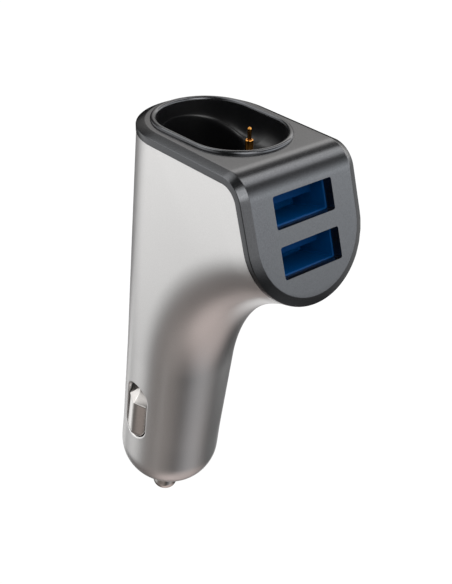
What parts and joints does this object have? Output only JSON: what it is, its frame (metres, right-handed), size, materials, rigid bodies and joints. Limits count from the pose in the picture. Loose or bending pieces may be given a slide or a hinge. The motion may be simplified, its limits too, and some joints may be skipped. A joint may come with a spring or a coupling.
{
  "type": "car usb charger plug",
  "caption": "Plug for a car lighter socket with a bent satin silver body, two charging sockets in its tilted front and an earpiece cradle in its sloping top.",
  "frame": {"origin": "on the barrel's axis, in the middle of the plain band at the nose that fits the lighter socket", "axes": "+Z along the barrel's axis, away from the nose; +X to the front with the charging sockets; mirror plane XZ outside"},
  "size_m": [0.0452, 0.0252, 0.0964],
  "materials": {
    "satin_silver": "moulded ABS with satin silver metallic lacquer",
    "dark_grey": "moulded ABS with fine satin texture, dark grey",
    "gloss_black": "polished black polycarbonate",
    "blue_plastic": "moulded blue nylon",
    "gold_plate": "gold plated brass",
    "plated_steel": "nickel plated, polished",
    "spring_steel": "drawn spring wire",
    "circuit_board": "glass epoxy with green mask",
    "ferrite": "sintered ferrite, wound",
    "capacitor_can": "aluminium can in a printed sleeve",
    "chip_black": "moulded epoxy",
    "insulator": "moulded nylon"
  },
  "bodies": {
    "housing": {"body_shell": "satin_silver", "top_cover": "dark_grey", "cradle_cup": "gloss_black", "charge_pin_barrel": "gold_plate", "dock_board": "circuit_board", "dock_header": "gold_plate", "usb_liner_upper": "blue_plastic", "usb_liner_lower": "blue_plastic", "usb_contacts_upper": "gold_plate", "usb_contacts_lower": "gold_plate", "usb_shield_upper": "plated_steel", "usb_shield_lower": "plated_steel", "usb_board": "circuit_board", "main_board": "circuit_board", "choke": "ferrite", "input_capacitor": "capacitor_can", "output_capacitor": "capacitor_can", "controller_chip": "chip_black", "rectifier_chip": "chip_black", "spring_seat": "insulator", "tip_spring": "spring_steel", "side_spring_near": "spring_steel", "side_spring_far": "spring_steel"},
    "tip": {"centre_contact": "plated_steel"},
    "near_side_contact": {"side_contact_near": "plated_steel"},
    "far_side_contact": {"side_contact_far": "plated_steel"},
    "pin_plunger": {"charge_pin_plunger": "gold_plate"}
  },
  "joints": [
    {"name": "centre_contact_press", "type": "slide", "parent": "housing", "child": "tip", "axis": [0, 0, 1], "range_m": [0, 0.003], "stiffness_N_per_m": 500, "springref_m": -0.002, "deforming": ["tip_spring"]},
    {"name": "side_contact_near_press", "type": "slide", "parent": "housing", "child": "near_side_contact", "axis": [0, 1, 0], "range_m": [0, 0.0012], "stiffness_N_per_m": 800, "springref_m": -0.0006, "deforming": ["side_spring_near"]},
    {"name": "side_contact_far_press", "type": "slide", "parent": "housing", "child": "far_side_contact", "axis": [0, -1, 0], "range_m": [0, 0.0012], "stiffness_N_per_m": 800, "springref_m": -0.0006, "deforming": ["side_spring_far"]},
    {"name": "charge_pin_press", "type": "slide", "parent": "housing", "child": "pin_plunger", "axis": [0.1564, 0, -0.9877], "range_m": [0, 0.0012], "stiffness_N_per_m": 300, "springref_m": -0.0006}
  ]
}
